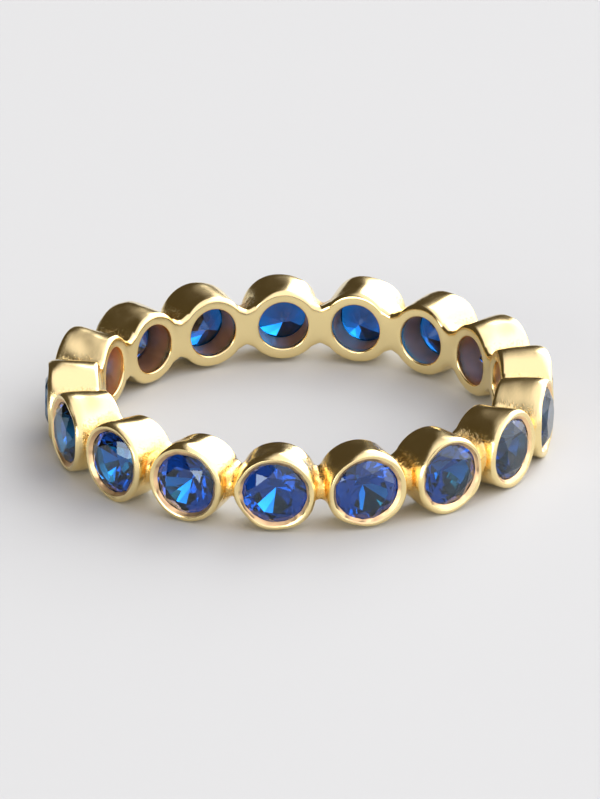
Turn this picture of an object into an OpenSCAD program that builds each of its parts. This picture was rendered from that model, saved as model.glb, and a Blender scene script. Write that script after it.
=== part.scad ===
// Full eternity ring: a closed row of round bezel cups soldered edge to edge, each holding a
// brilliant-cut blue stone. It lies on its side, with the finger hole's axis along +Z, the origin
// under the middle of the hole and the first cup facing -Y. Sizes are in millimetres.

/* [Finger hole] */
// Diameter of the hole that the finger goes through
finger_d = 17.3; // [17:0.1:18]

/* [Cups] */
// Number of cups, each with one stone
cup_count = 17; // [17:1:18]
// Length of a cup, from the finger hole to its rim
cup_depth = 2.15; // [2:0.05:2.4]
// Outer diameter of a cup at its rim
rim_d = 3.5; // [3.45:0.05:3.6]
// Radius of the rounded outer edge of the rim
rim_round = 0.16; // [0.1:0.02:0.18]
// Width of the flat lip on top of the rim
lip_w = 0.08; // [0.04:0.02:0.1]
// Height of the bevel that leans from the lip in over the stone
bevel_h = 0.13; // [0.1:0.01:0.18]
// Diameter of the open back of a cup, seen from inside the ring
back_hole_d = 2.22; // [1.8:0.02:2.4]
// Gap that the solder fills between the backs of two cups
back_gap = 0.04; // [0.03:0.01:0.12]
// Size of the worn edge at the back of a cup
back_chamfer = 0.2; // [0.1:0.05:0.25]

/* [Solder] */
// Width of the solder between two cups at the finger hole
neck_inner_w = 1.75; // [1.5:0.05:1.9]
// Width of the solder between two cups at its outer face
neck_outer_w = 1.0; // [0.8:0.05:1.2]
// How far the outer face of the solder lies below the rims
saddle_drop = 0.5; // [0.35:0.05:0.7]

/* [Stones] */
// Diameter of a stone at its girdle
stone_d = 3.0; // [2.96:0.01:3.02]
// Diameter of the part of a stone that shows inside the rim
stone_open_d = 2.68; // [2.64:0.01:2.72]
// Width of the table across its corners, as a share of the stone
table_share = 0.57; // [0.5:0.01:0.62]
// Slope of the crown's main facets, in degrees
crown_angle = 34.5; // [32:0.5:36]
// Slope of the pavilion's main facets, in degrees
pavilion_angle = 41; // [39:0.5:42]
// Thickness of the girdle, as a share of the stone
girdle_share = 0.03; // [0.02:0.005:0.04]
// Gap between a stone and its seat
stone_gap = 0.02; // [0.01:0.005:0.03]

/* [View] */
// Sub-part to show: all, band, or a stone from stone_01 on

/* [Hidden] */
$fn = 72;
gold = [0.93, 0.74, 0.36];
sapphire = [0.05, 0.13, 0.55];

finger_r = finger_d / 2;
rim_r = rim_d / 2;
rim_plane = finger_r + cup_depth;
half_pitch = 180 / cup_count;
lip_steps = 4;
past = 0.5;
full_turn = 360;

// Outline of a cup. h is always the distance from the ring's axis.
back_r = finger_r * tan(half_pitch) - back_gap / 2;
taper = (rim_r - back_r) / cup_depth;
function cup_r(h) = rim_r - taper * (rim_plane - h);

// Stone, with its girdle's upper edge as height 0
stone_r = stone_d / 2;
open_r = stone_open_d / 2;
table_r = stone_r * table_share;
crown_h = (stone_r - table_r) * tan(crown_angle);
girdle_h = stone_d * girdle_share;
pavilion_h = stone_r * tan(pavilion_angle);
main_count = 8;
facet_step = full_turn / main_count;
half_step = facet_step / 2;
star_r = (table_r + stone_r) / 2;
lower_tip_share = 0.24;
lower_tip_r = stone_r * lower_tip_share;
// Height of the crown's and the pavilion's main planes at radius r, half a facet off their middle
function crown_side_z(r) = (stone_r - r * cos(half_step)) * tan(crown_angle);
function pavilion_side_z(r) = -girdle_h - (stone_r - r * cos(half_step)) * tan(pavilion_angle);

// Seat of a stone in its cup
seat_r = stone_r + stone_gap;
bevel_foot = rim_plane - bevel_h;
ridge_slope = crown_side_z(star_r) / (stone_r - star_r);
girdle_plane = bevel_foot - (stone_r - open_r) * ridge_slope - stone_gap * norm([1, ridge_slope]);
seat_top = girdle_plane + stone_gap;
seat_bottom = girdle_plane - girdle_h - stone_gap;
back_hole_r = back_hole_d / 2;
seat_foot = seat_bottom - (seat_r - back_hole_r) * tan(pavilion_angle);

// Solder between two cups: half its width and the radius of its hollow sides at distance h.
// The hollow side is a circle that crosses both cups, a little larger than the one that touches them.
saddle_plane = rim_plane - saddle_drop;
hollow_share = 1.06;
wedge_share = 0.6;
solder_bite = 0.15;
function neck_half(h) = (neck_inner_w + (neck_outer_w - neck_inner_w)
    * (h - finger_r) / (saddle_plane - finger_r)) / 2;
function mid_gap(h) = h * tan(half_pitch);
function hollow_r(h) = hollow_share * (mid_gap(h) ^ 2 + neck_half(h) ^ 2 - cup_r(h) ^ 2)
    / (2 * (cup_r(h) - neck_half(h)));
function hollow_z(h) = neck_half(h) + hollow_r(h);
// How far the solder reaches to each side, a bite into the cup's wall included
function solder_reach(h) = mid_gap(h) - sqrt(cup_r(h) ^ 2 - neck_half(h) ^ 2) + solder_bite;

function polar(r, a, z) = [r * cos(a), r * sin(a), z];
function arc(cx, cy, r, from, to, steps) =
    [for (i = [0 : steps]) [cx + r * cos(from + (to - from) * i / steps),
                            cy + r * sin(from + (to - from) * i / steps)]];

function stone_name(i) = str("stone_", i < 10 ? "0" : "", i);
function cup_angle(i) = -90 + (i - 1) * 2 * half_pitch;
// Each stone is turned a little differently in its cup, as hand setting leaves them.
function stone_turn(i) = (i * 17) % facet_step;

// Places its children in cup i, with their Z axis pointing out from the finger hole's axis.
module in_cup(i) {
    translate([0, 0, rim_r])
        rotate([0, 0, cup_angle(i)])
            rotate([0, 90, 0])
                children();
}

// One cup before it is bored: a slightly tapered drum with a rounded rim and a worn back edge.
module cup_blank() {
    worn_r = back_r - back_chamfer;
    worn_h = finger_r - back_chamfer / 2;
    rotate_extrude()
        polygon(concat(
            [[0, finger_r - past], [worn_r, finger_r - past], [worn_r, worn_h],
             [cup_r(worn_h + back_chamfer), worn_h + back_chamfer]],
            arc(rim_r - rim_round, rim_plane - rim_round, rim_round, 0, 90, lip_steps),
            [[0, rim_plane]]));
}

// What is bored out of a cup: the open back, the stone's seat and the bevel over its edge.
module cup_bore() {
    lip_r = rim_r - rim_round - lip_w;
    rotate_extrude()
        polygon([[0, finger_r - 2 * past], [back_hole_r, finger_r - 2 * past],
                 [back_hole_r, seat_foot], [seat_r, seat_bottom], [seat_r, seat_top],
                 [open_r, bevel_foot], [lip_r, rim_plane], [lip_r, rim_plane + past],
                 [0, rim_plane + past]]);
}

// The solder that joins cup i to the next one: a wedge with hollow upper and lower sides.
module solder(i) {
    h_in = finger_r - past;
    h_out = saddle_plane + past;
    run = h_out - h_in;
    rise = hollow_z(h_out) - hollow_z(h_in);
    reach = max(solder_reach(finger_r), solder_reach(saddle_plane));
    top_in = neck_half(h_in) + hollow_r(h_in) * wedge_share;
    top_out = neck_half(saddle_plane) + hollow_r(saddle_plane) * wedge_share;
    translate([0, 0, rim_r])
        rotate([0, 0, cup_angle(i) + half_pitch])
            difference() {
                translate([0, reach, 0])
                    rotate([90, 0, 0])
                        linear_extrude(height = 2 * reach)
                            polygon([[h_in, -top_in], [saddle_plane, -top_out],
                                     [saddle_plane, top_out], [h_in, top_in]]);
                for (side = [0, 1])
                    mirror([0, 0, side])
                        translate([h_in, 0, hollow_z(h_in)])
                            rotate([0, 90 - atan2(rise, run), 0])
                                cylinder(h = norm([run, rise]),
                                         r1 = hollow_r(h_in), r2 = hollow_r(h_out));
            }
}

// The bored cups and the solder between them, with the finger hole cut through.
module band() {
    color(gold)
        difference() {
            union() {
                for (i = [1 : cup_count]) {
                    in_cup(i)
                        difference() {
                            cup_blank();
                            cup_bore();
                        }
                    solder(i);
                }
            }
            translate([0, 0, -past])
                cylinder(h = rim_d + 2 * past, r = finger_r);
        }
}

// A round brilliant. Rings of points from the table down: table corners, star tips, the girdle's
// two edges, the tips of the lower halves, and the culet.
module brilliant() {
    n = main_count;
    tops = [for (k = [0 : n - 1]) polar(table_r, k * facet_step, crown_h)];
    stars = [for (k = [0 : n - 1])
        polar(star_r, k * facet_step + half_step, crown_side_z(star_r))];
    girdle_top = [for (k = [0 : 2 * n - 1]) polar(stone_r, k * half_step, 0)];
    girdle_low = [for (k = [0 : 2 * n - 1]) polar(stone_r, k * half_step, -girdle_h)];
    tips = [for (k = [0 : n - 1])
        polar(lower_tip_r, k * facet_step + half_step, pavilion_side_z(lower_tip_r))];
    culet = [0, 0, -girdle_h - pavilion_h];
    s = n;
    g = 2 * n;
    l = 4 * n;
    p = 6 * n;
    c = 7 * n;
    table_facet = [[for (k = [n - 1 : -1 : 0]) k]];
    star_facets = [for (k = [0 : n - 1]) [k, (k + 1) % n, s + k]];
    kite_facets = [for (k = [0 : n - 1]) [k, s + k, g + 2 * k, s + (k + n - 1) % n]];
    upper_halves = [for (k = [0 : n - 1]) each [
        [s + k, g + 2 * k + 1, g + 2 * k],
        [s + k, g + (2 * k + 2) % (2 * n), g + 2 * k + 1]]];
    girdle_facets = [for (k = [0 : 2 * n - 1])
        [g + k, g + (k + 1) % (2 * n), l + (k + 1) % (2 * n), l + k]];
    lower_halves = [for (k = [0 : n - 1]) each [
        [p + k, l + 2 * k, l + 2 * k + 1],
        [p + k, l + 2 * k + 1, l + (2 * k + 2) % (2 * n)]]];
    main_facets = [for (k = [0 : n - 1]) [c, p + (k + n - 1) % n, l + 2 * k, p + k]];
    polyhedron(
        points = concat(tops, stars, girdle_top, girdle_low, tips, [culet]),
        faces = concat(table_facet, star_facets, kite_facets, upper_halves,
                       girdle_facets, lower_halves, main_facets));
}

module stone(i) {
    color(sapphire)
        in_cup(i)
            translate([0, 0, girdle_plane])
                rotate([0, 0, stone_turn(i)])
                    brilliant();
}

band();
for (i = [1 : cup_count])
    stone(i);
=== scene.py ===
import math

import bpy
import numpy as np
from mathutils import Matrix, Vector


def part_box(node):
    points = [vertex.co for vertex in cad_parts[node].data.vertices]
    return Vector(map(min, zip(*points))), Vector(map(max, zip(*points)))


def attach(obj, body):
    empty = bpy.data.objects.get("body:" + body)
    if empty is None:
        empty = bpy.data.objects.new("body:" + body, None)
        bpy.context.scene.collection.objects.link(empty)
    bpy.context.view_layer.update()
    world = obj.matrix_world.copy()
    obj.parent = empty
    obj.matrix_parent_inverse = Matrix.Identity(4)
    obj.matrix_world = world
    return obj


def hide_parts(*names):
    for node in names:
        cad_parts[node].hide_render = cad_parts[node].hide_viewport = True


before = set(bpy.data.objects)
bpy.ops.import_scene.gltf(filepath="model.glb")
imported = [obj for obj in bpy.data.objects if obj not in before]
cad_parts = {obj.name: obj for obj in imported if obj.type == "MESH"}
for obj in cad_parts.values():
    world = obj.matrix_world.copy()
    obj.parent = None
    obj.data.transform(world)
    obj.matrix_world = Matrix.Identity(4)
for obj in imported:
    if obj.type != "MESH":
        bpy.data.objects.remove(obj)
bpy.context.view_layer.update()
print("stage: frame loaded")

mm = 0.001                   # lengths are in metres, unless a note says mm
fullTurn = 2 * math.pi


# A mesh's vertices as rows
def meshPoints(mesh):
    co = np.empty(len(mesh.vertices) * 3)
    mesh.vertices.foreach_get("co", co)
    return co.reshape(-1, 3)


# Sizes that the frame gives. Cup 0 faces -Y, and the cups follow anticlockwise seen from above.
stoneNodes = [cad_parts[name] for name in sorted(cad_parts) if name.startswith("stone_")]
cupCount = len(stoneNodes)
halfPitch = math.pi / cupCount
bandPoints = meshPoints(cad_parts["band"].data)
bandLow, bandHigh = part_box("band")
fingerRadius = float(np.hypot(bandPoints[:, 0], bandPoints[:, 1]).min())
rimPlane = -bandLow.y        # the rims' distance from the finger axis
rimRadius = (bandHigh.z - bandLow.z) / 2
axisHeight = (bandHigh.z + bandLow.z) / 2
backHalfGap = 0.02 * mm      # half the gap between the backs of two cups
backRadius = fingerRadius * math.tan(halfPitch) - backHalfGap


# 0 below low, 1 above high, and a smooth S between them
def smoothStep(low, high, x):
    t = np.clip((x - low) / (high - low), 0, 1)
    return t * t * (3 - 2 * t)


# Points on an ellipse's arc, angles in degrees, the last one left out
def arcRun(centre, wide, high, start, end, count):
    a = np.radians(np.linspace(start, end, count, endpoint=False))
    return np.stack([centre[0] + wide * np.cos(a), centre[1] + high * np.sin(a)], 1)


# Evenly spaced points from start towards end, the last one left out
def lineRun(start, end, count=1):
    t = np.linspace(0, 1, count, endpoint=False)[:, None]
    return np.array(start) * (1 - t) + np.array(end) * t


# A sum of cosines round a circle, each order with a random share, never under leastShare, and a random phase
def waves(theta, rng, orders, size, leastShare=0.3):
    total = np.zeros_like(theta)
    for n in orders:
        total += rng.uniform(leastShare, 1) * np.cos(n * theta + rng.uniform(0, fullTurn))
    return size * total / math.sqrt(len(orders))


# Frame points from a cup's own coordinates: across the row, up along the finger axis, out from that axis
def cupPlace(index, across, up, out):
    a = -math.pi / 2 + index * 2 * halfPitch
    x = out * math.cos(a) - across * math.sin(a)
    y = out * math.sin(a) + across * math.cos(a)
    return np.stack([x, y, up + axisHeight], -1)


# Quads of a grid whose columns close on themselves, and whose rows do too if asked
def gridQuads(rows, cols, offset, closeRows):
    r, c = np.meshgrid(np.arange(rows if closeRows else rows - 1), np.arange(cols), indexing="ij")
    r2, c2 = (r + 1) % rows, (c + 1) % cols
    corners = [r * cols + c, r2 * cols + c, r2 * cols + c2, r * cols + c2]
    return offset + np.stack(corners, -1).reshape(-1, 4)


# Two triangles for each quad
def splitQuads(quads):
    return np.concatenate([quads[:, [0, 1, 2]], quads[:, [0, 2, 3]]])


# The triangles, turned over if the volume they enclose comes out negative
def facingOut(points, tris):
    a, b, c = points[tris[:, 0]], points[tris[:, 1]], points[tris[:, 2]]
    return tris if np.einsum("ij,ij->i", a, np.cross(b, c)).sum() > 0 else tris[:, ::-1]


def meshPiece(name, points, faces):
    mesh = bpy.data.meshes.new(name)
    mesh.vertices.add(len(points))
    mesh.vertices.foreach_set("co", points.astype(np.float32).ravel())
    mesh.loops.add(faces.size)
    mesh.loops.foreach_set("vertex_index", faces.astype(np.int32).ravel())
    mesh.polygons.add(len(faces))
    mesh.polygons.foreach_set("loop_start", np.arange(len(faces), dtype=np.int32) * faces.shape[1])
    mesh.update(calc_edges=True)
    mesh.validate()
    piece = bpy.data.objects.new(name, mesh)
    bpy.context.scene.collection.objects.link(piece)
    return piece


# Cups: each is a closed wall section turned about the cup's own axis. Depths are below the rim. Two numbers
# are the ends of a fade or of a random range.
cupForm = {
    "seed": 100,
    "around": 98,                              # steps round a cup
    "backRound": 0.2 * mm,                     # rounded outer edge at the finger hole
    "backInnerRound": 0.08 * mm,               # rounded edge of the open back
    "lipCrest": 1.61 * mm,                     # radius of the lip's highest line
    "lipHigh": 0.2 * mm,                       # height of the rounding from the wall to the crest
    "lipInnerWide": 0.13 * mm,                 # width and height of the ellipse of the lip's inner slope
    "lipInnerHigh": 0.05 * mm,
    "lipInnerEnd": 30,                         # degrees of that ellipse's quarter that the groove cuts off
    "bevel": 1.488 * mm,                       # radius where the bevel starts, past the groove
    "foot": 1.325 * mm,                        # radius where the bevel meets the stone
    "footDepth": 0.145 * mm,
    "seat": 1.525 * mm,                        # radius of the seat round the girdle
    "seatTop": 0.27 * mm,                      # depths of the seat's upper and lower edge
    "seatLow": 0.43 * mm,
    "backHole": 1.08 * mm,                     # radius of the open back
    "seatFoot": 0.8 * mm,                      # depth where the seat runs into the bore
    "lobes": 0.034 * mm,                       # how far the rim leaves a true circle
    "lobeOrders": (3, 4, 5, 6),                # orders are numbers of waves round the cup
    "lobeInset": 0.5,                          # share of their height by which the lobes are moved inwards
    "rimWave": 0.026 * mm,                     # how far the rim leaves its plane
    "rimOrders": (2, 3, 5, 7),
    "burnish": 0.034 * mm,                     # how ragged the bevel's foot is
    "burnishOrders": (3, 4, 7, 9, 12, 15, 19, 23),
    "footReach": 0.09 * mm,                    # how far from the foot the section follows it
    "crownSlope": 0.69,                        # slope of the stone that the foot keeps to
    "offCentre": 0.05 * mm,                    # how far the opening over the stone is off the cup's middle
    "offCentreShare": (0.2, 1),
    "nick": 0.055 * mm,                        # nicks in the foot: size, number and width in radians
    "nickShare": (0.4, 1),
    "nickCount": (3, 7),                       # the second is one more than the most
    "nickWide": (0.06, 0.14),
    "dents": 0.02 * mm,                        # how far the wall is dented
    "dentOrders": (3, 4, 6, 7),
    "dentTwist": 3,                            # most that a dent turns over a mm of depth, in radians
    "worn": 0.09 * mm,                         # how far the rim's upper outer edge is worn round, at most
    "wornShare": (0.3, 1),
    "wornTurn": 0.6,                           # how far the worn side is off the top, in radians
    "wornDepth": (0, 0.5 * mm),                # where the wear fades down the wall, and in from it
    "wornRadius": (1.56 * mm, 1.7 * mm),
    "shift": 0.03 * mm,                        # how far a rim is off its place
    "stretch": (-0.024 * mm, 0.015 * mm),      # what is added to a rim's half width and half height
    "rimDepth": (0.1 * mm, 1.5 * mm),          # what is done to the rim fades with depth
    "topDepth": (0.05 * mm, 0.25 * mm),        # the same for what is done to the lip and the bevel
    "rimSide": (1.36 * mm, 1.6 * mm),          # and with radius, from the wall in to the stone
    "wallRadius": (1.56 * mm, 1.66 * mm),      # where dents begin, by radius and by depth
    "wallDepth": (0.1 * mm, 0.4 * mm),
    "backRise": (0.3 * mm, 1.2 * mm),          # height over the finger hole up to which the back follows it
    "crease": 38,                              # degrees past which an edge stays sharp
}

# Steps along each part of the section
sectionSteps = {
    "backRound": 5, "wall": 9, "lip": 7, "lipInner": 3, "bevel": 4,
    "bevelUnder": 2, "seatSlope": 2, "bore": 4, "backInnerRound": 4,
}

# Rims that the photograph shows to be off, in mm: cup, shift across and up, added half width and height
rimQuirks = {
    0: (0.05, 0.02, 0.05, -0.03),
    1: (0.03, 0.03, 0.05, -0.04),
    3: (0.04, 0.0, 0.03, -0.01),
    16: (0.0, 0.01, 0.01, -0.02),
}


# The section as (radius, distance from the finger axis): up the outside from the back, over the lip and its
# groove, down the bevel to the stone, under it round the seat and down the bore
def cupSection():
    f, steps = cupForm, sectionSteps
    lipEnd = math.radians(f["lipInnerEnd"])
    grooveRadius = f["lipCrest"] - f["lipInnerWide"] * math.cos(lipEnd)
    grooveOut = rimPlane - f["lipInnerHigh"] * (1 - math.sin(lipEnd))
    wallLow = (backRadius, fingerRadius + f["backRound"])
    wallTop = (rimRadius, rimPlane - f["lipHigh"])
    lipInner = (f["lipCrest"], rimPlane - f["lipInnerHigh"])
    bevelTop = (f["bevel"], grooveOut)
    foot = (f["foot"], rimPlane - f["footDepth"])
    seatTop = (f["seat"], rimPlane - f["seatTop"])
    seatLow = (f["seat"], rimPlane - f["seatLow"])
    boreTop = (f["backHole"], rimPlane - f["seatFoot"])
    boreLow = (f["backHole"], fingerRadius + f["backInnerRound"])
    backInner = (f["backHole"] + f["backInnerRound"], fingerRadius)
    backOuter = (backRadius - f["backRound"], fingerRadius)
    return np.concatenate([
        arcRun((backOuter[0], wallLow[1]), f["backRound"], f["backRound"], -90, 0, steps["backRound"]),
        lineRun(wallLow, wallTop, steps["wall"]),
        arcRun((f["lipCrest"], wallTop[1]), rimRadius - f["lipCrest"], f["lipHigh"], 0, 90, steps["lip"]),
        arcRun(lipInner, f["lipInnerWide"], f["lipInnerHigh"], 90, 180 - f["lipInnerEnd"],
               steps["lipInner"]),
        lineRun((grooveRadius, grooveOut), bevelTop),
        lineRun(bevelTop, foot, steps["bevel"]),
        lineRun(foot, seatTop, steps["bevelUnder"]),
        lineRun(seatTop, seatLow),
        lineRun(seatLow, boreTop, steps["seatSlope"]),
        lineRun(boreTop, boreLow, steps["bore"]),
        arcRun((backInner[0], boreLow[1]), f["backInnerRound"], f["backInnerRound"], 180, 270,
               steps["backInnerRound"]),
        lineRun(backInner, backOuter),
    ])


# One cup: rows go round its axis, columns follow the section. The rim is a little out of round, out of plane
# and off its place, the wall has shallow dents, the bevel's foot is ragged and nicked along the stone, and
# the back follows the finger hole.
def cupPoints(index, section):
    f = cupForm
    rng = np.random.default_rng(f["seed"] + index)
    theta = np.linspace(0, fullTurn, f["around"], endpoint=False)[:, None]
    rho = np.broadcast_to(section[:, 0], (len(theta), len(section))).copy()
    out = np.broadcast_to(section[:, 1], rho.shape).copy()
    depth = rimPlane - out
    nearRim = 1 - smoothStep(*f["rimDepth"], depth)
    outside = smoothStep(*f["rimSide"], rho)
    topPart = 1 - smoothStep(*f["topDepth"], depth)
    wall = smoothStep(*f["wallRadius"], rho) * smoothStep(*f["wallDepth"], depth)
    lobes = waves(theta, rng, f["lobeOrders"], f["lobes"])
    rho += (lobes - f["lobeInset"] * lobes.max()) * nearRim * outside
    for n in f["dentOrders"]:
        tilt = depth / mm * rng.uniform(-f["dentTwist"], f["dentTwist"]) + rng.uniform(0, fullTurn)
        rho += f["dents"] * rng.uniform(-1, 1) * np.cos(n * theta + tilt) * wall
    edge = smoothStep(*f["wornRadius"], rho) * (1 - smoothStep(*f["wornDepth"], depth))
    worn = f["worn"] * rng.uniform(*f["wornShare"]) * edge
    rho -= worn * (1 + np.sin(theta + rng.uniform(-f["wornTurn"], f["wornTurn"]))) / 2
    out += waves(theta, rng, f["rimOrders"], f["rimWave"]) * topPart
    ragged = waves(theta, rng, f["burnishOrders"], f["burnish"])
    ragged += f["offCentre"] * rng.uniform(*f["offCentreShare"]) * np.cos(theta + rng.uniform(0, fullTurn))
    for _ in range(rng.integers(*f["nickCount"])):
        away = np.angle(np.exp(1j * (theta - rng.uniform(0, fullTurn))))
        size = f["nick"] * rng.uniform(*f["nickShare"])
        ragged += size * np.exp(-(away / rng.uniform(*f["nickWide"])) ** 2)
    slide = ragged * np.exp(-((rho - f["foot"]) / f["footReach"]) ** 2) * topPart
    rho += slide
    out -= f["crownSlope"] * slide
    quirk = np.concatenate([rng.uniform(-f["shift"], f["shift"], 2), rng.uniform(*f["stretch"], 2)])
    if index in rimQuirks:
        quirk = np.array(rimQuirks[index]) * mm
    moveAcross, moveUp, moreWide, moreHigh = quirk
    across = rho * np.cos(theta) * (1 + moreWide / rimRadius * nearRim) + moveAcross * nearRim * outside
    up = rho * np.sin(theta) * (1 + moreHigh / rimRadius * nearRim) + moveUp * nearRim * outside
    dip = fingerRadius - np.sqrt(fingerRadius ** 2 - across ** 2)
    out -= dip * (1 - smoothStep(*f["backRise"], out - fingerRadius))
    return cupPlace(index, across, up, out).reshape(-1, 3)


def cupPieces():
    section = cupSection()
    rows, cols = cupForm["around"], len(section)
    points = np.concatenate([cupPoints(i, section) for i in range(cupCount)])
    quads = np.concatenate([gridQuads(rows, cols, i * rows * cols, True) for i in range(cupCount)])
    return meshPiece("goldBand", points, facingOut(points, splitQuads(quads)))


# Solder: a rounded section carried across the gap between two cups. Two numbers are the ends of a fade or of
# a random range.
solderForm = {
    "seed": 300,
    "innerHalf": 0.9 * mm,                     # half its width at the finger hole
    "outerHalf": 0.46 * mm,                    # half its width at the outer face
    "drop": 0.42 * mm,                         # depth of the outer face below the rims
    "reach": 0.4 * mm,                         # how far its middle goes to each side
    "flankPower": 3,                           # how late the reach gives way to the cups' walls at the flanks
    "valley": 0.05 * mm,                       # rounding of the valley at the finger hole
    "valleyShare": 0.92,                       # share of the slope that would just touch the cups
    "hollowShare": 1.04,                       # the flank's circle against one that just touches them
    "hollowEnd": 0.95,                         # share of its radius beyond which the flank is level
    "saddle": 0.36 * mm,                       # radius of the hollow between two rims
    "saddleReach": 0.27 * mm,                  # distance from its middle beyond which it is level
    "innerPower": 8,                           # corners of the section at the finger hole, nearly square
    "outerPower": 2.6,                         # corners at the outer face, nearly round
    "powerTurn": (0.2, 0.9),                   # cosines of the angles between which they change
    "across": 22,                              # steps across the gap
    "around": 68,                              # steps round the section
    "uneven": 0.06 * mm,                       # how much the joints differ in depth
    "unevenWidth": 0.03 * mm,                  # and in width and height
    "lumps": 0.03 * mm,                        # size of the lumps on the outer face
    "lumpCount": 26,
    "lumpAside": 0.3 * mm,                     # how far the lumps lie from the joint's middle
    "lumpUp": 0.8 * mm,
    "lumpWide": (0.05 * mm, 0.12 * mm),
    "lumpShare": (-0.8, 1.3),
    "lumpFace": (0.1, 0.8),                    # where they rise, from the section's middle 0 to its face 1
}

# Joints that the photograph shows to be slimmer: joint after cup, half width at the finger hole in mm
slimJoints = {0: 0.55, 1: 0.68, 16: 0.55, 15: 0.65}


# One joint between cup index and the next: rows go across the gap, columns round the section, a square whose
# outer corners are rounder than its inner ones. At the finger hole its flanks are valleys whose straight
# sides meet both cups, and they turn into circles towards the rims. Its outer face dips between the rims
# under random lumps, and its inner face lies on the finger hole.
def solderPoints(index):
    f = solderForm
    rng = np.random.default_rng(f["seed"] + index)
    a = np.linspace(0, fullTurn, f["around"], endpoint=False)
    power = f["innerPower"] + (f["outerPower"] - f["innerPower"]) * smoothStep(*f["powerTurn"], np.cos(a))
    size = (np.abs(np.cos(a)) ** power + np.abs(np.sin(a)) ** power) ** (-1 / power)
    p, q = size * np.cos(a), size * np.sin(a)
    face = rimPlane - f["drop"] + rng.uniform(-f["uneven"], f["uneven"])
    share = (p + 1) / 2
    moreInner, moreOuter, moreUp = rng.uniform(-f["unevenWidth"], f["unevenWidth"], 3)
    innerHalf = (slimJoints[index] * mm if index in slimJoints else f["innerHalf"]) + moreInner
    neck = innerHalf + (f["outerHalf"] - innerHalf + moreOuter) * share
    middle = fingerRadius + (face - fingerRadius) * share
    cup = backRadius + (rimRadius - backRadius) * (middle - fingerRadius) / (rimPlane - fingerRadius)
    gap = middle * math.tan(halfPitch)
    apart = np.hypot(gap, neck)
    lean = np.arcsin(cup / apart) - np.arctan2(neck, gap)
    touch = np.sqrt(apart ** 2 - cup ** 2) * np.cos(lean)
    y = f["reach"] + (touch - f["reach"]) * np.abs(q) ** f["flankPower"]
    y = y * np.linspace(-1, 1, f["across"])[:, None]
    inner = np.sqrt(fingerRadius ** 2 - y ** 2)
    aside = np.minimum(np.abs(y), f["saddleReach"])
    outer = face + f["saddle"] - np.sqrt(f["saddle"] ** 2 - aside ** 2)
    out = inner + (outer - inner) * share
    straight = neck + f["valleyShare"] * np.tan(lean) * (np.hypot(y, f["valley"]) - f["valley"])
    hollow = f["hollowShare"] * (gap ** 2 + neck ** 2 - cup ** 2) / (2 * (cup - neck))
    aside = np.minimum(np.abs(y), f["hollowEnd"] * hollow)
    circle = neck + hollow - np.sqrt(hollow ** 2 - aside ** 2)
    up = q * (straight + (circle - straight) * share) + moreUp
    lumps = np.zeros_like(out)
    for _ in range(f["lumpCount"]):
        lumpY = rng.uniform(-f["lumpAside"], f["lumpAside"])
        lumpUp = rng.uniform(-f["lumpUp"], f["lumpUp"])
        wide = rng.uniform(*f["lumpWide"])
        away = ((y - lumpY) ** 2 + (up - lumpUp) ** 2) / wide ** 2
        lumps += rng.uniform(*f["lumpShare"]) * np.exp(-away)
    out = out + f["lumps"] * lumps * smoothStep(*f["lumpFace"], p)
    return cupPlace(index + 0.5, y, up, out)


# All joints in one mesh, each a tube whose two ends, inside the cups' walls, are closed by fans
def solderPieces():
    rows, cols = solderForm["across"], solderForm["around"]
    k, k2 = np.arange(cols), (np.arange(cols) + 1) % cols
    hub, lastRow = rows * cols, (rows - 1) * cols
    points, tris = [], []
    for index in range(cupCount):
        grid = solderPoints(index)
        start = index * (rows * cols + 2)
        points += [grid.reshape(-1, 3), grid[0].mean(0)[None], grid[-1].mean(0)[None]]
        tris += [splitQuads(gridQuads(rows, cols, start, False)),
                 start + np.stack([np.full(cols, hub), k, k2], -1),
                 start + np.stack([np.full(cols, hub + 1), lastRow + k2, lastRow + k], -1)]
    points, tris = np.concatenate(points), np.concatenate(tris)
    return meshPiece("solder", points, facingOut(points, tris))


# Where each share of the band's surface fades. aside and up are distances from the nearest joint's middle,
# radius is from the nearest cup's axis, rise is above the finger hole and depth below the rims.
shareForm = {
    "solderAside": (0.16 * mm, 0.5 * mm),
    "solderUp": (0.7 * mm, 1.15 * mm),
    "fringeAside": (0.25 * mm, 0.72 * mm),
    "fringeUp": (0.9 * mm, 1.4 * mm),
    "outwardRise": (0.1 * mm, 0.8 * mm),       # solder and fringe end at the finger hole and the rims
    "outwardDepth": (0.1 * mm, 0.3 * mm),
    "lipDepth": (0.12 * mm, 0.35 * mm),
    "boreRadius": (1.1 * mm, 1.16 * mm),
    "boreRise": (0.02 * mm, 0.2 * mm),
    "seatRadius": (1.54 * mm, 1.58 * mm),
    "seatRise": (0.6 * mm, 1.15 * mm),
    "seatDepth": (0.16 * mm, 0.25 * mm),
    "bevelRadius": (1.45 * mm, 1.5 * mm),
    "bevelDepth": 0.3 * mm,
    "bevelShare": 0.65,                        # how much of the recesses' painted shade and added roughness the bevel takes
}


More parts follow.
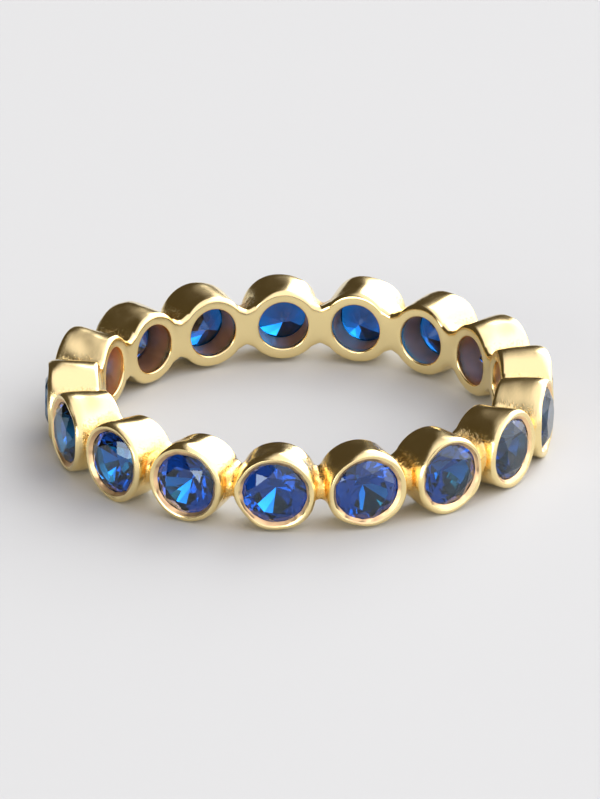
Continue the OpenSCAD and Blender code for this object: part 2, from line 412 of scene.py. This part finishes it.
# Shares at each point of the band: solder is 1 in the joints and falls to 0 on the cups' walls, fringe is 1
# in a wider region round them, lip is 1 on the rims and falls to 0 just below them, recess is 1 inside a cup
# and less on the bevel over the stone
def markShares(piece):
    f = shareForm
    x, y, z = meshPoints(piece.data).T
    fromJoint = (np.arctan2(y, x) + math.pi / 2) / (2 * halfPitch) - 0.5
    fromCup = fromJoint + 0.5
    out = np.hypot(x, y)
    up = np.abs(z - axisHeight)
    rise, depth = out - fingerRadius, rimPlane - out
    aside = np.abs(fromJoint - np.round(fromJoint)) * 2 * halfPitch * out
    outward = smoothStep(*f["outwardRise"], rise) * smoothStep(*f["outwardDepth"], depth)
    solder = (1 - smoothStep(*f["solderAside"], aside)) * (1 - smoothStep(*f["solderUp"], up))
    fringe = (1 - smoothStep(*f["fringeAside"], aside)) * (1 - smoothStep(*f["fringeUp"], up))
    lip = 1 - smoothStep(*f["lipDepth"], depth)
    place = (fromCup - np.round(fromCup)) * 2 * halfPitch
    radius = np.hypot(out * np.sin(place), up)
    rise, depth = out * np.cos(place) - fingerRadius, rimPlane - out * np.cos(place)
    bore = (1 - smoothStep(*f["boreRadius"], radius)) * smoothStep(*f["boreRise"], rise)
    seat = (1 - smoothStep(*f["seatRadius"], radius)) * smoothStep(*f["seatRise"], rise)
    seat *= smoothStep(*f["seatDepth"], depth)
    bevel = (1 - smoothStep(*f["bevelRadius"], radius)) * (depth < f["bevelDepth"])
    # recess places the painted shade in the cups and on the bevel, as well as their added roughness
    recess = np.maximum(np.maximum(bore, seat), f["bevelShare"] * bevel)
    shares = {"solder": solder * outward, "fringe": fringe * outward, "lip": lip, "recess": recess}
    for name, value in shares.items():
        attribute = piece.data.attributes.new(name + "Share", "FLOAT", "POINT")
        attribute.data.foreach_set("value", value.astype(np.float32))


goldBand = cupPieces()
solderJoints = solderPieces()
fuse = goldBand.modifiers.new("fuse", "BOOLEAN")
fuse.operation = "UNION"
fuse.solver = "MANIFOLD"
fuse.object = solderJoints
bpy.context.view_layer.objects.active = goldBand
bpy.ops.object.modifier_apply(modifier="fuse")
bpy.data.objects.remove(solderJoints)
goldBand.data.polygons.foreach_set("use_smooth", np.ones(len(goldBand.data.polygons), dtype=bool))
goldBand.data.set_sharp_from_angle(angle=math.radians(cupForm["crease"]))
markShares(goldBand)
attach(goldBand, "root")
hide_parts("band")
goldBand.data.calc_loop_triangles()
print("stage: band,", len(goldBand.data.loop_triangles), "triangles")


# Links or sets a node's inputs
def setInputs(tree, node, values):
    for key, value in values.items():
        if isinstance(value, bpy.types.NodeSocket):
            tree.links.new(value, node.inputs[key])
        else:
            node.inputs[key].default_value = value


def addNode(tree, kind, values=None, **settings):
    node = tree.nodes.new(kind)
    for key, value in settings.items():
        setattr(node, key, value)
    setInputs(tree, node, values or {})
    return node


def mathNode(tree, operation, *values):
    return addNode(tree, "ShaderNodeMath", dict(enumerate(values)), operation=operation).outputs[0]


def vectorNode(tree, operation, *values):
    return addNode(tree, "ShaderNodeVectorMath", dict(enumerate(values)), operation=operation).outputs


def fadeNode(tree, value, low, high):
    ends = {"Value": value, "From Min": low, "From Max": high}
    return addNode(tree, "ShaderNodeMapRange", ends, interpolation_type="SMOOTHSTEP").outputs["Result"]


def noiseNode(tree, vector, scale, detail):
    values = {"Vector": vector, "Scale": scale, "Detail": detail}
    return addNode(tree, "ShaderNodeTexNoise", values).outputs["Fac"]


# Sockets 0, 6 and 7 are a color mix's share and its two colors, and output 2 is its result
def mixNode(tree, share, first, second):
    return addNode(tree, "ShaderNodeMix", {0: share, 6: first, 7: second}, data_type="RGBA").outputs[2]


def attributeNode(tree, name):
    return addNode(tree, "ShaderNodeAttribute", attribute_name=name).outputs["Fac"]


def newGroup(name, inputs, outputs):
    group = bpy.data.node_groups.new(name, "ShaderNodeTree")
    for label, kind in inputs:
        group.interface.new_socket(label, in_out="INPUT", socket_type=kind)
    for label, kind in outputs:
        group.interface.new_socket(label, in_out="OUTPUT", socket_type=kind)
    return group, group.nodes.new("NodeGroupInput").outputs, group.nodes.new("NodeGroupOutput").inputs


def newMaterial(name):
    material = bpy.data.materials.new(name)
    material.use_nodes = True
    return material, material.node_tree, material.node_tree.nodes["Principled BSDF"]


def dress(piece, material):
    piece.data.materials.clear()
    piece.data.materials.append(material)


goldLook = {
    "color": (0.98, 0.79, 0.39, 1),            # polished yellow gold
    "solderColor": (1.0, 0.64, 0.19, 1),       # warmer solder
    "recessShadeColor": (0.98, 0.6, 0.35, 1),       # painted shade and reflection in the recesses: a darker, warmer gold
    "roughness": 0.13,
    "haze": 0.08,                              # added roughness where the polish is worn
    "lipRoughness": 0.06,                      # added roughness on the lips
    "solderRoughness": 0.1,                    # added roughness on solder
    "recessRoughness": 0.3,                    # added roughness in the recesses
    "edge": 0.016 * mm,                        # softened edges
    "solderEdge": 0.1 * mm,                    # softened edges at the solder
    "edgeSamples": 6,
    "dents": 0.028,                            # depth of shallow dents, in mm
    "grain": 0.0009,                           # depth of the polishing grain, in mm
    "lipGrain": 0.0045,                        # added depth of it on the lips, in mm
    "lumps": 0.05,                             # height of the solder's lumps, in mm
    "specks": 0.01,                            # height of the splashed specks, in mm
    "dentNoise": (900, 1),                     # scale per metre and detail of each noise
    "grainNoise": (8000, 3),
    "lumpNoise": (4200, 2),
    "speckNoise": (11000, 2),
    "hazeNoise": (1500, 4),
    "speckEnds": (0.54, 0.64),                 # noise values between which specks and haze rise
    "hazeEnds": (0.35, 0.7),
}


# Hand finish of the metal: shallow dents, polishing grain that is coarser on the lips, small lumps where
# there is solder, and splashed specks of it in the fringe
def handFinishGroup():
    inputs = ["Solder", "Fringe", "Lip", "Dents", "Grain", "Lip Grain", "Lumps", "Specks"]
    inputs = [("Place", "NodeSocketVector")] + [(label, "NodeSocketFloat") for label in inputs]
    outputs = [(label, "NodeSocketFloat") for label in ("Height", "Haze", "Splash")]
    tree, given, result = newGroup("handFinish", inputs, outputs)
    dents, grain, lumps, specks, haze = [noiseNode(tree, given["Place"], *goldLook[kind + "Noise"])
                                         for kind in ("dent", "grain", "lump", "speck", "haze")]
    lumpy = mathNode(tree, "MULTIPLY", mathNode(tree, "MULTIPLY", lumps, given["Lumps"]), given["Solder"])
    grainDepth = mathNode(tree, "MULTIPLY_ADD", given["Lip"], given["Lip Grain"], given["Grain"])
    fine = mathNode(tree, "MULTIPLY_ADD", grain, grainDepth, lumpy)
    splash = mathNode(tree, "MULTIPLY", fadeNode(tree, specks, *goldLook["speckEnds"]), given["Fringe"])
    fine = mathNode(tree, "MULTIPLY_ADD", splash, given["Specks"], fine)
    tree.links.new(splash, result["Splash"])
    tree.links.new(mathNode(tree, "MULTIPLY_ADD", dents, given["Dents"], fine), result["Height"])
    tree.links.new(fadeNode(tree, haze, *goldLook["hazeEnds"]), result["Haze"])
    return tree


def goldMaterial():
    material, tree, shader = newMaterial("polishedGold")
    solder, fringe, lip, recess = [attributeNode(tree, name + "Share")
                                   for name in ("solder", "fringe", "lip", "recess")]
    finish = addNode(tree, "ShaderNodeGroup", {
        "Place": addNode(tree, "ShaderNodeTexCoord").outputs["Object"],
        "Solder": solder, "Fringe": fringe, "Lip": lip,
        "Dents": goldLook["dents"], "Grain": goldLook["grain"], "Lip Grain": goldLook["lipGrain"],
        "Lumps": goldLook["lumps"], "Specks": goldLook["specks"],
    }, node_tree=handFinishGroup()).outputs
    moreEdge = goldLook["solderEdge"] - goldLook["edge"]
    edge = mathNode(tree, "MULTIPLY_ADD", solder, moreEdge, goldLook["edge"])
    soft = addNode(tree, "ShaderNodeBevel", {"Radius": edge}, samples=goldLook["edgeSamples"])
    bump = addNode(tree, "ShaderNodeBump", {"Height": finish["Height"], "Distance": mm, "Strength": 1,
                                            "Normal": soft.outputs["Normal"]})
    soldered = mathNode(tree, "MAXIMUM", solder, finish["Splash"])
    color = mixNode(tree, soldered, goldLook["color"], goldLook["solderColor"])
    rough = mathNode(tree, "MULTIPLY_ADD", finish["Haze"], goldLook["haze"], goldLook["roughness"])
    for share, name in ((lip, "lipRoughness"), (solder, "solderRoughness"), (recess, "recessRoughness")):
        rough = mathNode(tree, "MULTIPLY_ADD", share, goldLook[name], rough)
    # Painted shade and reflection: the recesses take a darker, warmer gold
    setInputs(tree, shader, {
        "Base Color": mixNode(tree, recess, color, goldLook["recessShadeColor"]),
        "Metallic": 1,
        "Roughness": rough,
        "Normal": bump.outputs["Normal"],
    })
    return material


sapphireLook = {
    "ior": 1.77,
    "color": (0.02, 0.26, 0.72, 1),
    "glint": (0.75, 0.88, 1.0, 1),             # color of reflections on the facets
    "tint": (0.0, 0.5, 0.69, 1),               # tint and density of the depth inside
    "density": 1150,
}


def sapphireMaterial():
    material, tree, shader = newMaterial("blueSapphire")
    setInputs(tree, shader, {
        "Base Color": sapphireLook["color"],
        "Specular Tint": sapphireLook["glint"],
        "Roughness": 0,
        "IOR": sapphireLook["ior"],
        "Transmission Weight": 1,
    })
    depth = {"Color": sapphireLook["tint"], "Density": sapphireLook["density"]}
    soak = addNode(tree, "ShaderNodeVolumeAbsorption", depth)
    tree.links.new(soak.outputs["Volume"], tree.nodes["Material Output"].inputs["Volume"])
    return material


dress(goldBand, goldMaterial())
blueSapphire = sapphireMaterial()
for stone in stoneNodes:
    dress(stone, blueSapphire)
print("stage: materials")

# Floor, light and backdrop, angles in degrees
studio = {
    "floorColor": (0.58, 0.595, 0.575, 1),
    "floorRoughness": 0.7,
    "floorHalf": 3.0,                          # metres
    "floorGap": 0.002 * mm,                    # how far the floor is below the ring
    "backdrop": (0.76, 0.76, 0.76, 1),         # what the camera sees past the floor
    "dark": (0.072, 0.056, 0.033),             # the unlit side of the studio
    "tentAzimuth": 80,                         # middle of the half that a white tent lights
    "tentElevation": 22,
    "tentEdge": (-0.12, 0.32),                 # cosines from its middle between which it fades
    "tentLight": (1.2, 1.16, 1.29),
    "boxLeast": 0.05,                          # a soft box ends where the cosine from its middle is this
    "boxCorner": 0.3,                          # softness of the start of its edge's fade
}

# Soft boxes: azimuth and elevation of the middle, half width, half height and edge as tangents, and light
softBoxes = {
    "key": {"azimuth": 112, "elevation": 34, "wide": 0.9, "high": 0.55, "edge": 0.3, "light": 1.1},
    "back": {"azimuth": 156, "elevation": 30, "wide": 0.32, "high": 0.26, "edge": 0.08, "light": 2.6},
    "glow": {"azimuth": 162, "elevation": 9, "wide": 0.13, "high": 0.13, "edge": 0.05, "light": 4.5},
    "front": {"azimuth": -27, "elevation": 13, "wide": 0.24, "high": 0.18, "edge": 0.05, "light": 5.5},
}


# Direction of an azimuth, from the front towards +X, and an elevation, both in degrees
def direction(azimuth, elevation):
    a, e = math.radians(azimuth), math.radians(elevation)
    return Vector((math.sin(a) * math.cos(e), -math.cos(a) * math.cos(e), math.sin(e)))


def floorPiece():
    half, height = studio["floorHalf"], bandLow.z - studio["floorGap"]
    corners = np.array([(-half, -half, height), (half, -half, height),
                        (half, half, height), (-half, half, height)])
    piece = meshPiece("floor", corners, np.array([[0, 1, 2, 3]]))
    material, tree, shader = newMaterial("paleFloor")
    setInputs(tree, shader, {"Base Color": studio["floorColor"], "Roughness": studio["floorRoughness"]})
    dress(piece, material)


# Share of a soft box in a direction: its tangents to the box's side and top from the box's middle
def softBoxGroup():
    vectors = [(label, "NodeSocketVector") for label in ("Direction", "Middle", "Side", "Top")]
    numbers = [(label, "NodeSocketFloat") for label in ("Wide", "High", "Edge")]
    tree, given, result = newGroup("softBox", vectors + numbers, [("Share", "NodeSocketFloat")])
    ahead = vectorNode(tree, "DOT_PRODUCT", given["Direction"], given["Middle"])["Value"]
    share = mathNode(tree, "GREATER_THAN", ahead, studio["boxLeast"])
    for axis, size in (("Side", "Wide"), ("Top", "High")):
        run = vectorNode(tree, "DOT_PRODUCT", given["Direction"], given[axis])["Value"]
        aside = mathNode(tree, "ABSOLUTE", mathNode(tree, "DIVIDE", run, ahead))
        inside = mathNode(tree, "SUBTRACT", mathNode(tree, "ADD", given[size], given["Edge"]), aside)
        step = mathNode(tree, "DIVIDE", inside, given["Edge"])
        step = mathNode(tree, "SMOOTH_MIN", step, 1, studio["boxCorner"])
        share = mathNode(tree, "MULTIPLY", share, mathNode(tree, "MAXIMUM", step, 0))
    tree.links.new(share, result["Share"])
    return tree


def studioWorld():
    world = bpy.data.worlds.new("studio")
    bpy.context.scene.world = world
    world.use_nodes = True
    tree = world.node_tree
    ray = addNode(tree, "ShaderNodeTexCoord").outputs["Generated"]
    middle = direction(studio["tentAzimuth"], studio["tentElevation"])
    tent = fadeNode(tree, vectorNode(tree, "DOT_PRODUCT", ray, middle)["Value"], *studio["tentEdge"])
    total = vectorNode(tree, "MULTIPLY_ADD", studio["tentLight"], tent, studio["dark"])["Vector"]
    group = softBoxGroup()
    for name, box in softBoxes.items():
        share = addNode(tree, "ShaderNodeGroup", {
            "Direction": ray,
            "Middle": direction(box["azimuth"], box["elevation"]),
            "Side": direction(box["azimuth"] + 90, 0),
            "Top": direction(box["azimuth"], box["elevation"] + 90),
            "Wide": box["wide"], "High": box["high"], "Edge": box["edge"],
        }, node_tree=group, label=name).outputs["Share"]
        lit = mathNode(tree, "MULTIPLY", share, box["light"])
        total = vectorNode(tree, "ADD", total, lit)["Vector"]
    seen = addNode(tree, "ShaderNodeLightPath").outputs["Is Camera Ray"]
    final = mixNode(tree, seen, total, studio["backdrop"])
    tree.links.new(final, tree.nodes["Background"].inputs["Color"])


view = {
    "azimuth": 5.8,                            # degrees round the ring from the front
    "elevation": 21.9,
    "distance": 0.5,                           # metres
    "pixelsPerMetre": 23250,                   # of the photograph, at the ring
    "picture": (600, 799),
    "sensor": 36,
    "clip": (0.01, 20),
}


def photoCamera():
    data = bpy.data.cameras.new("photoCamera")
    data.sensor_width = view["sensor"]
    data.lens = view["sensor"] * view["pixelsPerMetre"] * view["distance"] / max(view["picture"])
    data.clip_start, data.clip_end = view["clip"]
    camera = bpy.data.objects.new("photoCamera", data)
    back = direction(view["azimuth"], view["elevation"])
    place = Vector((0, 0, axisHeight)) + back * view["distance"]
    camera.matrix_world = Matrix.Translation(place) @ back.to_track_quat("Z", "Y").to_matrix().to_4x4()
    bpy.context.scene.collection.objects.link(camera)
    bpy.context.scene.camera = camera


floorPiece()
studioWorld()
photoCamera()
bpy.context.scene.view_settings.view_transform = "Standard"
print("stage: studio")
